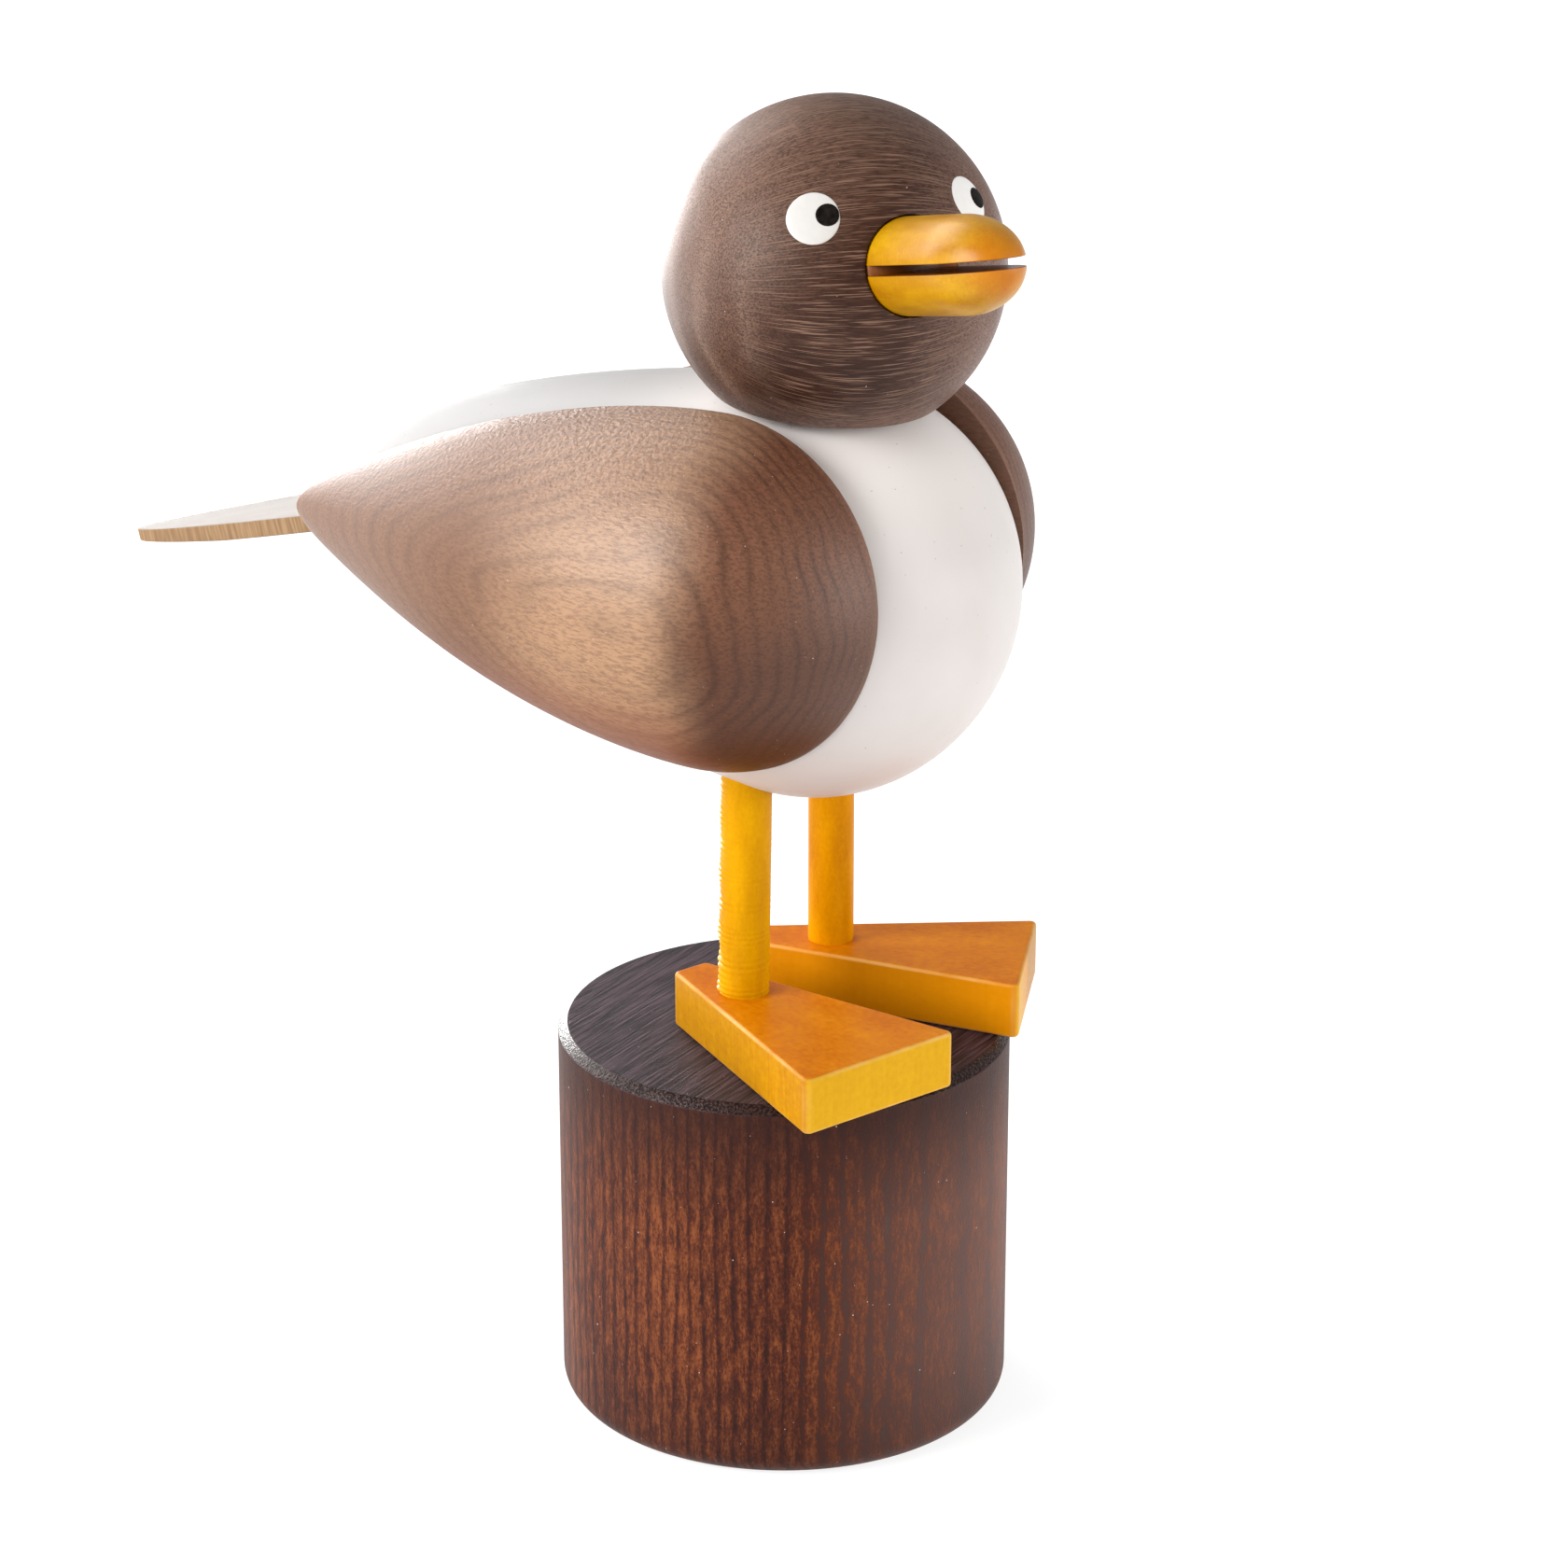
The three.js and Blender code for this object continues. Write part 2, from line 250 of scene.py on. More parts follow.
def make_piece(name, skins, where, material, node=None, marks=None):
    """Makes an object from skins in its own axes, and lets it stand for a node of the frame.

    Each mark is stored as an attribute that the piece's material reads.
    """
    corners = []
    faces = []
    for rings in skins:
        skin_corners, skin_faces = skin_over(rings)
        first = sum(len(part) for part in corners)
        corners.append(skin_corners @ where.turn.T + where.position)
        for part in skin_faces:
            faces.extend((part + first).tolist())
    mesh = bpy.data.meshes.new(name)
    mesh.from_pydata((np.vstack(corners) * MM).tolist(), [], faces)
    mesh.shade_smooth()
    for mark, values in (marks or {}).items():
        stored = mesh.attributes.new(mark, "FLOAT", "POINT")
        stored.data.foreach_set("value", marks_over(values).astype(np.float32))
    mesh.materials.append(material)
    piece = bpy.data.objects.new(name, mesh)
    bpy.context.collection.objects.link(piece)
    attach(piece, "root")
    if node:
        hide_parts(node)
    return piece


# Curves and outlines that the pieces share


def soft_minimum(first, second, softness):
    """The smaller of two lengths, with the corner where they meet rounded over a softness.

    Where they are that close, it is less by softness / 4 * (1 - |difference| / softness) ^ 2.
    """
    overlap = np.maximum(softness - np.abs(first - second), 0) / softness
    return np.minimum(first, second) - overlap**2 * softness / 4


def arc(centre, radius, start, stop, steps):
    """Points on an arc, [steps, 2], between two angles in degrees."""
    angles = np.radians(np.linspace(start, stop, steps))
    return np.array(centre) + radius * np.stack([np.cos(angles), np.sin(angles)], 1)


def egg_stations(egg, front_steps, back_steps):
    """Radius and distance back, from an egg's front tip to its back tip.

    The front is half an ellipse. Behind it the radius falls as (1 - (distance / back) ^ fullness)
    ^ roundness, times (1 - (distance / end) ^ bluntness) ^ 0.5 that rounds off the tip.
    """
    turn = np.linspace(0, math.pi / 2, front_steps, endpoint=False)
    along = np.sin(np.linspace(0, math.pi / 2, back_steps))
    distance = egg["end"] * along
    fall = (1 - (distance / egg["back"]) ** egg["fullness"]) ** egg["roundness"]
    fall *= np.sqrt(1 - along ** egg["bluntness"])
    radius = np.concatenate([np.sin(turn), fall]) * egg["radius"]
    back = np.concatenate([-egg["front"] * np.cos(turn), distance])
    return radius, back


def turned_rings(outline, columns):
    """Rings about Z through an outline of [radius, height] points."""
    angles = np.linspace(0, 2 * math.pi, columns, endpoint=False)
    radius, height = outline[:, :1], outline[:, 1:]
    across = radius * np.cos(angles)
    return np.stack([across, radius * np.sin(angles), height + 0 * across], -1)


def half_round(half_chord, offset, softness, columns):
    """Sections of a rod that is sawn flat at an offset from its axis, as (across, out) rings.

    The circle's radius is (half chord^2 + offset^2) ^ 0.5. Seen from a point inside the section,
    two fifths of the way from the sawn face to the circle, each ray ends at the circle or at the
    face, whichever is nearer, with a soft corner that shrinks where the section is thin. The rays
    crowd towards the two corners.
    """
    half_chord = half_chord[:, None]
    radius = np.hypot(half_chord, offset)
    depth = radius - offset
    middle = 0.4 * depth
    corner = np.arctan2(half_chord, -middle)
    crowd = (1 - np.cos(np.linspace(0, math.pi, columns // 2, endpoint=False))) / 2
    round_side = corner * (2 * crowd - 1)
    flat_side = corner + 2 * (math.pi - corner) * crowd
    ray = np.concatenate([round_side, flat_side], 1)
    from_axis = middle + offset
    to_circle = np.sqrt(radius**2 - (from_axis * np.sin(ray)) ** 2) - from_axis * np.cos(ray)
    inward = -np.cos(ray)
    to_face = np.where(inward > NOTHING, middle / np.maximum(inward, NOTHING), FAR)
    soft = np.minimum(softness, 0.3 * depth + NOTHING)
    reach = soft_minimum(to_circle, to_face, soft)
    return reach * np.sin(ray), middle + reach * np.cos(ray)


def rounded_corners(corners, radius, steps, margin):
    """An outline whose corners are arcs, and its outward direction at each point.

    A corner's arc is centred where both sides are a radius away. A margin of side is kept before
    and after each arc, so that the side's flat face stays flat.
    """
    corners = np.array(corners, float)
    towards = [np.roll(corners, 1, 0) - corners, np.roll(corners, -1, 0) - corners]
    before, after = (side / np.linalg.norm(side, axis=1, keepdims=True) for side in towards)
    half = np.arccos((before * after).sum(1, keepdims=True)) / 2
    inward = (before + after) / np.linalg.norm(before + after, axis=1, keepdims=True)
    centre = corners + inward * radius / np.sin(half)
    start = corners + before * radius / np.tan(half) - centre
    stop = corners + after * radius / np.tan(half) - centre
    part = np.linspace(0, 1, steps)[None, :, None]
    outward = start[:, None] * (1 - part) + stop[:, None] * part
    outward /= np.linalg.norm(outward, axis=2, keepdims=True)
    outward = np.concatenate([outward[:, :1], outward, outward[:, -1:]], 1)
    points = centre[:, None] + radius * outward
    points[:, 0] += margin * before
    points[:, -1] += margin * after
    return points.reshape(-1, 2), outward.reshape(-1, 2)


def board_rings(outline, outward, low, high, arris, shrinks):
    """Rings over a flat board: out from the middle of its underside, round its edge, and back.

    The outline is drawn in by the arris where it turns into a flat face, along a quarter circle.
    On each face it shrinks towards its middle by the shrinks, from 0 at the middle to 1. Low and
    high give the height of the two faces at each Y.
    """
    middle = outline.mean(0)
    face_margin = 0.15
    turn = np.radians(np.linspace(-90, 0, 6))
    inset = arris * (1 - np.cos(turn))
    rise = arris * (1 + np.sin(turn))
    edge = outline - outward * inset[:, None, None]
    face = outline - outward * (arris + face_margin)
    shrunk = middle + (face - middle) * np.array(shrinks)[:, None, None]
    under = np.concatenate([shrunk, edge])
    over = under[::-1]
    rises = np.concatenate([np.zeros(len(shrinks)), rise])[:, None]
    below = np.dstack([under, low(under[..., 1]) + rises])
    above = np.dstack([over, high(over[..., 1]) - rises[::-1]])
    return np.concatenate([below, above])


# Shapes of the pieces, each in its own axes


def stand_rings():
    """A turned block: an outline with a rounded bottom and a chamfer whose two edges are soft."""
    radius, height, chamfer = STAND["radius"], STAND["height"], STAND["chamfer"]
    rounding, soft = STAND["bottom_round"], STAND["soft_edge"]
    tangent = soft * math.tan(math.radians(22.5))
    outline = np.vstack([
        [(0, 0), (radius - rounding - FLAT_MARGIN, 0)],
        arc((radius - rounding, rounding), rounding, -90, 0, steps=14),
        [(radius, rounding + FLAT_MARGIN), (radius, height - chamfer - tangent - FLAT_MARGIN)],
        arc((radius - soft, height - chamfer - tangent), soft, 0, 45, steps=5),
        arc((radius - chamfer - tangent, height - soft), soft, 45, 90, steps=5),
        [(radius - chamfer - tangent - FLAT_MARGIN, height), (0, height)],
    ])
    return turned_rings(outline, columns=288)


def stand_marks(rings):
    """Where the stand's chamfer is, on which the lacquer stands in small beads.

    The four rings run from the end of its lower soft edge to the middle of its upper one.
    """
    chamfer = np.zeros(rings.shape[:2])
    chamfer[-8:-4] = 1
    return {"chamfer": chamfer}


def foot_rings(side):
    """A board of even thickness whose outline is a narrow heel and a broad, slanting toe."""
    foot = FOOT[side]
    corners = [
        (-FOOT["heel_width"] / 2, 0),
        (-foot["toe_width"] / 2, -FOOT["length"]),
        (foot["toe_width"] / 2, foot["toe_skew"] - FOOT["length"]),
        (FOOT["heel_width"] / 2, 0),
    ]
    outline, outward = rounded_corners(corners, FOOT["corner_round"], steps=7, margin=0.3)
    return board_rings(
        outline, outward, lambda y: 0 * y, lambda y: 0 * y + FOOT["thickness"], FOOT["arris"], (0, 1)
    )


def foot_marks(rings):
    """How much each point of a foot belongs to a worn edge, and whether it lies on the top.

    The rings along an arris wear most, and each upright corner wears about a third as much. The
    last four rings lie on the top or on the start of its arris.
    """
    rows, columns = rings.shape[:2]
    edge_rows = np.array([0, 0, 0, 0.5, 1, 1, 0.6, 0, 0, 0.6, 1, 1, 0.5, 0, 0, 0])
    corner = np.array([0, 0.1, 0.35, 0.35, 0.35, 0.35, 0.35, 0.1, 0])
    edge = np.maximum(edge_rows[:, None], np.tile(corner, columns // len(corner)))
    edge[:2] = 0
    edge[-2:] = 0
    top = np.zeros((rows, columns))
    top[-4:] = 1
    return {"worn_edge": edge, "top_face": top}


def leg_rings(side):
    """A dowel whose skin rises and falls on the fine spiral that its cutter left.

    The radius is the dowel's own plus chatter * depth * torn side * wave. The depth falls from
    1.15 at the foot to 0.45 over 45 mm. The torn side is 0.1 all round, and 1.1 on the side where
    the wood tore. The wave is a sine of (height / pitch - angle) that drifts and beats along the
    leg, plus a slower sine of height and angle.
    """
    leg = LEG[side]
    height = np.linspace(LEG["bottom"], LEG["top"], 330)[:, None] - LEG["foot_top"]
    angle = np.linspace(0, 2 * math.pi, 64, endpoint=False)[None]
    pitch = LEG["spiral_pitch"]
    deeper = np.clip(1.15 - height / 45, 0.45, 1.15)
    torn_side = 0.10 + np.maximum(np.cos(angle - math.radians(LEG["torn_side"])), 0) ** 5
    wave = np.sin(2 * math.pi * height / pitch - angle + 1.5 * np.sin(0.8 * height))
    wave = wave * (0.6 + 0.4 * np.sin(1.7 * height + 1)) + 0.3 * np.sin(0.9 * height + 3 * angle)
    radius = leg["radius"] + leg["chatter"] * deeper * torn_side * wave
    radius[[0, -1]] = 0
    return np.stack([radius * np.cos(angle), radius * np.sin(angle), height + 0 * radius], -1)


def body_rings():
    """A turned egg with a flat for each wing and one for the head.

    A ray from the egg's axis ends at the egg or at a flat, whichever is nearer.
    """
    radius, back = egg_stations(BODY, front_steps=90, back_steps=170)
    angle = np.linspace(0, 2 * math.pi, 300, endpoint=False)
    rays = np.stack([np.cos(angle), 0 * angle, np.sin(angle)], 1) @ BODY_PLACE.turn.T
    axis = back[:, None] * BODY_PLACE.turn[:, 1] + BODY_PLACE.position
    flats = [(SIDES[side] * wing_place(side).turn[:, 0], wing_place(side).position) for side in SIDES]
    flats.append((SEAT_UP, HEAD_PLACE.position - HEAD["flat_below"] * SEAT_UP))
    reach = np.repeat(radius[:, None], len(angle), 1)
    for outward, point in flats:
        room_left = ((point - axis) @ outward)[:, None]
        slope = (rays @ outward)[None]
        to_flat = np.where(slope > GRAZING, room_left / np.maximum(slope, GRAZING), FAR)
        reach = soft_minimum(reach, to_flat, softness=0.2)
    reach[[0, -1]] = 0
    across = reach * np.cos(angle)
    return np.stack([across, back[:, None] + 0 * across, reach * np.sin(angle)], -1)


def wing_rings(side):
    """A turned egg sawn off a little outside its axis: a half-round section at each station."""
    half_chord, back = egg_stations(WING, front_steps=70, back_steps=110)
    half_chord[[0, -1]] = 0
    up, out = half_round(half_chord, WING["sawn_outside_axis"], softness=0.35, columns=200)
    return np.stack([SIDES[side] * out, back[:, None] + 0 * out, up], -1)


def tail_rings():
    """A thin tongue whose half width narrows evenly and ends in a flat curve.

    The half width is (tip + flare * way to go) * (1 - (way / length) ^ fullness) ^ 0.5. The
    underside is planed up in a straight slope towards the tip.
    """
    length = TAIL["length"]
    way = length * np.sin(np.linspace(0, math.pi / 2, 60))
    rounding = np.sqrt(1 - (way / length) ** TAIL["tip_fullness"])
    width = (TAIL["tip_half_width"] + TAIL["flare"] * (length - way)) * rounding
    root = TAIL["tip_half_width"] + TAIL["flare"] * length
    left = np.stack([np.append(root, width), np.append(-TAIL["in_slot"], way)], 1)
    outline = np.vstack([left, left[-2::-1] * (-1, 1)])
    along = np.roll(outline, -1, 0) - np.roll(outline, 1, 0)
    outward = np.stack([along[:, 1], -along[:, 0]], 1)
    outward /= np.linalg.norm(outward, axis=1, keepdims=True)
    slope = (TAIL["thickness"] - TAIL["tip_thickness"]) / (length - TAIL["planed_from"])
    return board_rings(
        outline, outward,
        lambda y: slope * np.maximum(y - TAIL["planed_from"], 0) - TAIL["thickness"],
        lambda y: 0 * y, TAIL["arris"], (0, 0.3, 0.6, 0.85, 1),
    )


def tail_marks(rings):
    """Where the tail is lacquered: on both its faces, not on its sawn edge.

    The first and the last eight rings lie on a face or on the start of its arris.
    """
    lacquered = np.zeros(rings.shape[:2])
    lacquered[:8] = 1
    lacquered[-8:] = 1
    return {"lacquered": lacquered}


def head_rings():
    """A turned ball with a flat below and a drilled socket, in rings about the beak's axis.

    A ray from the ball's middle ends at the ball or at the flat, whichever is nearer. The socket
    is a straight wall with a flat bottom and a soft rim.
    """
    ball = HEAD["radius"]
    hole = BEAK["radius"] + BEAK["socket_gap"]
    bottom = BEAK["socket_bottom"]
    soft_rim = 0.12
    polar = np.linspace(math.asin((hole + soft_rim) / ball), math.pi, 215)[:, None]
    angle = np.linspace(0, 2 * math.pi, 330, endpoint=False)[None]
    rays = np.stack([
        np.sin(polar) * np.cos(angle), -np.cos(polar) + 0 * angle, np.sin(polar) * np.sin(angle)
    ], -1)
    down = -(rays @ BEAK_PLACE.turn.T) @ SEAT_UP
    to_flat = np.where(down > GRAZING, HEAD["flat_below"] / np.maximum(down, GRAZING), FAR)
    outside = rays * soft_minimum(np.full_like(to_flat, ball), to_flat, softness=0.5)[..., None]
    rim = math.sqrt(ball**2 - hole**2)
    # The wall's last two points begin the soft rim.
    wall = np.array([(0, bottom), (hole, bottom), (hole, rim - 0.2), (hole + 0.04, rim - 0.07)])
    inside = turned_rings(wall, angle.size)
    return np.concatenate([np.stack([inside[..., 0], -inside[..., 2], inside[..., 1]], -1), outside])


def beak_skins():
    """Two jaws on one root, each a rod with an ellipse for a tip, sawn flat along the mouth.

    The radius is even up to the tip, and there radius * (1 - (way into the tip / tip length)^2)
    ^ 0.5. The root is a short plain rod that holds both jaws inside the head.
    """
    tip_start = BEAK["reach"] - BEAK["tip_length"]
    half_kerf = BEAK["kerf"] / 2
    furthest = math.sqrt(1 - (half_kerf / BEAK["radius"]) ** 2)
    tip = furthest * np.sin(np.linspace(0, math.pi / 2, 40))
    straight = np.linspace(BEAK["root"], tip_start, 30)[:-1]
    reach = np.concatenate([straight, tip_start + BEAK["tip_length"] * tip])
    into_tip = np.maximum((reach - tip_start) / BEAK["tip_length"], 0)
    radius = BEAK["radius"] * np.sqrt(1 - into_tip**2)
    half_chord = np.sqrt(np.maximum(radius**2 - half_kerf**2, 0))
    half_chord[[0, -1]] = 0
    across, out = half_round(half_chord, half_kerf, softness=0.25, columns=120)
    far = -reach[:, None] + 0 * out
    upper = np.stack([across, far, out + half_kerf], -1)
    lower = np.stack([across, far, -out - half_kerf], -1)
    root_radius = BEAK["radius"] - BEAK["root_gap"]
    root = turned_rings(np.array([
        (0, BEAK["root"]), (root_radius, BEAK["root"]),
        (root_radius, BEAK["kerf_bottom"]), (0, BEAK["kerf_bottom"]),
    ]), columns=64)
    return [upper, lower, np.stack([root[..., 0], -root[..., 2], root[..., 1]], -1)]


def direction_of(round_from_front, up):
    """The direction from the head's middle, from two angles in degrees."""
    a, e = math.radians(round_from_front), math.radians(up)
    return np.array([math.cos(e) * math.sin(a), -math.cos(e) * math.cos(a), math.sin(e)])


def paint_dot_rings(towards, radius, lift):
    """A round film of paint on the head, with a closed back that lies under the head's skin.

    Its height is lift + film * (1 - way out ^ 6) ^ 0.5, so the edge falls steeply, and its radius
    changes by about 1.5 percent round the edge, as hand-dabbed paint does.
    """
    side = np.cross(towards, (0, 0, 1.0))
    side /= np.linalg.norm(side)
    over = np.cross(side, towards)
    angle = np.linspace(0, 2 * math.pi, 96, endpoint=False)[None]
    out = np.sin(np.linspace(0, math.pi / 2, 24))[:, None]
    wobble = 1 + 0.010 * np.sin(2 * angle + 0.7) + 0.006 * np.sin(3 * angle + 2.0)
    polar = radius / HEAD["radius"] * wobble * out
    height = lift + FILM * (1 - out**6) ** 0.5 + 0 * angle
    under = polar[::-1]
    polar = np.concatenate([polar, under])
    height = np.concatenate([height, np.full_like(under, BELOW_SKIN)])
    distance = (HEAD["radius"] + height)[..., None]
    aside = np.cos(angle)[..., None] * side + np.sin(angle)[..., None] * over
    return distance * (np.cos(polar)[..., None] * towards + np.sin(polar)[..., None] * aside)


# Materials: colours, one node, and a piece's own axes

# Settings that many nodes share
COLOURS = {"data_type": "RGBA"}
NUMBERS = {"data_type": "FLOAT"}
SOFT = {"interpolation_type": "SMOOTHSTEP"}
PRODUCT = {"operation": "MULTIPLY"}
SUM = {"operation": "ADD"}
PRODUCT_AND_SUM = {"operation": "MULTIPLY_ADD"}


def linear(colour):
    """An sRGB hex colour as linear red, green, blue and full opacity."""
    parts = np.array([int(colour[i:i + 2], 16) for i in (1, 3, 5)]) / 255
    parts = np.where(parts <= 0.04045, parts / 12.92, ((parts + 0.055) / 1.055) ** 2.4)
    return (*parts.tolist(), 1.0)


def add(tree, kind, *values, stops=(), **named):
    """Adds one node, with its settings, named in small letters, and its inputs.

    Inputs come in order, or by name with a capital letter. An input is a value, a hex colour, an
    output, or a node whose first output in use is joined to it. Stops are a ramp's colours.
    """
    node = tree.nodes.new("ShaderNode" + kind)
    for name, value in named.items():
        if name[0].islower():
            setattr(node, name, value)
    for _ in stops[2:]:
        node.color_ramp.elements.new(0.5)
    for i, (position, colour) in enumerate(stops):
        node.color_ramp.elements[i].position = position
        node.color_ramp.elements[i].color = linear(colour)
    in_use = [socket for socket in node.inputs if socket.enabled]
    by_name = {socket.name.replace(" ", "_"): socket for socket in in_use}
    joined = list(zip(in_use, values))
    joined += [(by_name[name], value) for name, value in named.items() if name[0].isupper()]
    for socket, value in joined:
        if isinstance(value, bpy.types.Node):
            value = next(output for output in value.outputs if output.enabled)
        if isinstance(value, bpy.types.NodeSocket):
            tree.links.new(value, socket)
        else:
            socket.default_value = linear(value) if isinstance(value, str) else value
    return node


def start_material(name, where):
    """A new material's node tree, and its points in a piece's own axes, in millimetres."""
    material = bpy.data.materials.new(name)
    material.use_nodes = True
    tree = material.node_tree
    tree.nodes.clear()
    space = add(
        tree, "Mapping", add(tree, "TexCoord").outputs["Object"], vector_type="TEXTURE",
        Location=Vector(where.position * MM), Rotation=Matrix(where.turn.tolist()).to_euler(),
        Scale=(MM, MM, MM),
    )
    return material, tree, space


def end_material(tree, colour, roughness, height, depth, **shader_values):
    """Joins colour, roughness and bump to the shader, and sets its other values.

    Depth is the bump's, in millimetres. Where the lacquer is thicker, it is the shader's coat,
    whose weight follows a mask.
    """
    bump = add(tree, "Bump", Height=height, Distance=depth * MM)
    shader = add(
        tree, "BsdfPrincipled", Base_Color=colour, Roughness=roughness, Normal=bump,
        Coat_Normal=bump, **shader_values,
    )
    add(tree, "OutputMaterial", shader)


def blots(length_x, length_y, length_z):
    """The scale that gives a noise's blots a real length along each axis, in millimetres.

    Each noise reads points at this scale, with a scale of 1, a detail and a roughness of its own.
    """
    return (1 / length_x, 1 / length_y, 1 / length_z)


# Materials: the finishes of this figure

# Each loop over masks lays one stain, or a painted light or shade, after another over the
# colour, where its mask is 1. Lacquer has an IOR of about 1.5. The values are matched to the
# photograph from there: a lower one is a thin or rubbed coat, and a coat of 1.7 is a thick one
# under a lamp.


def walnut_stained_wing(side):
    """Walnut-stained diffuse-pored hardwood, turned and sawn, under satin lacquer.

    The eye sees soft nested contours, because the growth rings lie nearly along the sawn face
    and the dome cuts them. A ring is where (distance out + 0.006 * height ^ 2 + 6 * noise) is a
    whole number of ring spacings. The colour is darkest at the breast end and low on the dome,
    which is painted shade, and palest in the middle, which is a painted highlight. The lacquer is
    pebbled and shines most on top.
    """
    material, tree, space = start_material("walnut_stained_wing_" + side, wing_place(side))
    x, y, z = add(tree, "SeparateXYZ", space).outputs
    out = add(tree, "Math", x, operation="ABSOLUTE")
    cloud = add(tree, "Mapping", space, Scale=blots(9, 18, 9))
    cloud = add(tree, "TexNoise", cloud, 1.0, 3.0, 0.55)
    # Real fibre is about 0.1 mm wide. It is drawn 0.28 mm wide, to show at this picture's size.
    fibre = add(tree, "Mapping", space, Scale=blots(0.28, 1.3, 0.28))
    fibre = add(tree, "TexNoise", fibre, 1.0, 3.0, 0.7)

    # Growth rings, 1.5 mm apart, patchy and fainter behind the breast
    ring_spacing = 1.5
    wander = add(tree, "Mapping", space, Scale=blots(16, 38, 12))
    wander = add(tree, "TexNoise", wander, 1.0, 1.0, 0.5)
    height_squared = add(tree, "Math", z, z, **PRODUCT)
    bent = add(tree, "Math", height_squared, 0.006, out, **PRODUCT_AND_SUM)
    ring = add(tree, "Math", wander, 6.0, bent, **PRODUCT_AND_SUM)
    ring = add(tree, "Math", ring, 1 / ring_spacing, **PRODUCT)
    line = add(tree, "ValToRGB", add(tree, "Math", ring, operation="FRACT"), stops=[
        (0.0, "#808080"), (0.25, "#000000"), (0.5, "#303030"), (0.8, "#FFFFFF"), (1.0, "#808080"),
    ])
    wavy_y = add(tree, "Math", add(tree, "MapRange", cloud, 0.3, 0.7, -1.5, 1.5), y, **SUM)
    behind_breast = add(tree, "MapRange", wavy_y, -9.0, -0.5, **SOFT)
    lines = add(tree, "Math", line, add(tree, "MapRange", cloud, 0.35, 0.6, 0.15, 1.0), **PRODUCT)
    line_strength = add(tree, "MapRange", behind_breast, 0.0, 1.0, 0.55, 0.28)
    lines = add(tree, "Math", lines, line_strength, **PRODUCT)

    # Colour, from the dark breast end, which is painted shade, to the pale middle, which is a
    # painted highlight, then what changes it. Each later colour has a darker copy at the breast,
    # as the same painted shade.
    breast = add(tree, "Mix", add(tree, "MapRange", z, -4.0, 8.0), "#5E3B2A", "#7A513C", **COLOURS)
    colour = add(tree, "Mix", behind_breast, breast, "#A47F60", **COLOURS)
    # Darker towards the tail, behind the painted highlight of the middle.
    rear = add(tree, "MapRange", wavy_y, 8.0, 28.0, **SOFT)
    # Darker towards the top, above the painted highlight of the middle.
    upper = add(tree, "MapRange", z, 6.0, 15.0, 0.0, 0.6, **SOFT)
    upper_colour = add(tree, "Mix", behind_breast, "#6E4533", "#8F6B52", **COLOURS)
    flecks = add(tree, "MapRange", fibre, 0.44, 0.62, 0.0, 0.5)
    fleck_stain = add(tree, "Mix", behind_breast, "#3B241A", "#603F30", **COLOURS)
    # Painted shade on the low part of the dome, which faces down.
    low = add(tree, "MapRange", z, -6.0, -18.0, 0.0, 0.8, **SOFT)
    low_shade = add(tree, "Mix", behind_breast, "#4A2612", "#763A1B", **COLOURS)
    worn_rim = add(tree, "MapRange", out, 1.1, 0.2, 0.0, 0.15)
    dust = add(tree, "Mapping", space, Scale=blots(0.4, 0.6, 0.4))
    dust = add(tree, "TexNoise", dust, 1.0, 1.0, 0.5)
    dust = add(tree, "MapRange", dust, 0.80, 0.82, 0.0, 0.6)
    for mask, stain in [
        (rear, "#795843"), (upper, upper_colour), (lines, "#2E1C17"), (flecks, fleck_stain),
        (low, low_shade), (worn_rim, "#A8866F"), (dust, "#D9C2AE"),
    ]:
        colour = add(tree, "Mix", mask, colour, stain, **COLOURS)

    # Pebbled lacquer, 0.45 mm from bead to bead, deepest along the top and towards the tail,
    # over raised fibre
    pebbles = add(tree, "Mapping", space, Scale=blots(0.45, 0.6, 0.45))
    pebbles = add(tree, "TexNoise", pebbles, 1.0, 2.0, 0.5)
    pebbles = add(tree, "Math", pebbles, add(tree, "MapRange", z, 0.0, 12.0, 0.3, 2.0), **PRODUCT)
    pebbles = add(tree, "Math", pebbles, add(tree, "MapRange", y, -6.0, 14.0, 0.3, 1.0), **PRODUCT)
    relief = add(tree, "Math", fibre, 0.35, pebbles, **PRODUCT_AND_SUM)
    roughness = add(tree, "MapRange", fibre, 0.3, 0.7, 0.42, 0.52)

    # Thicker lacquer on top and at the tail end
    gloss = add(tree, "MapRange", z, -12.0, 14.0, 0.0, 0.65)
    gloss = add(tree, "Math", rear, -0.16, gloss, **PRODUCT_AND_SUM)
    gloss = add(tree, "Math", add(tree, "MapRange", y, 28.0, 46.0, 0.0, 0.5), gloss, **SUM)
    breast_gloss = add(tree, "MapRange", y, -9.0, -19.0, 0.04, 0.3)
    gloss = add(tree, "Mix", behind_breast, breast_gloss, gloss, **NUMBERS)
    end_material(tree, colour, roughness, relief, 0.11, IOR=1.25, Coat_Weight=gloss, Coat_IOR=1.7,
                 Coat_Roughness=0.46)
    return material


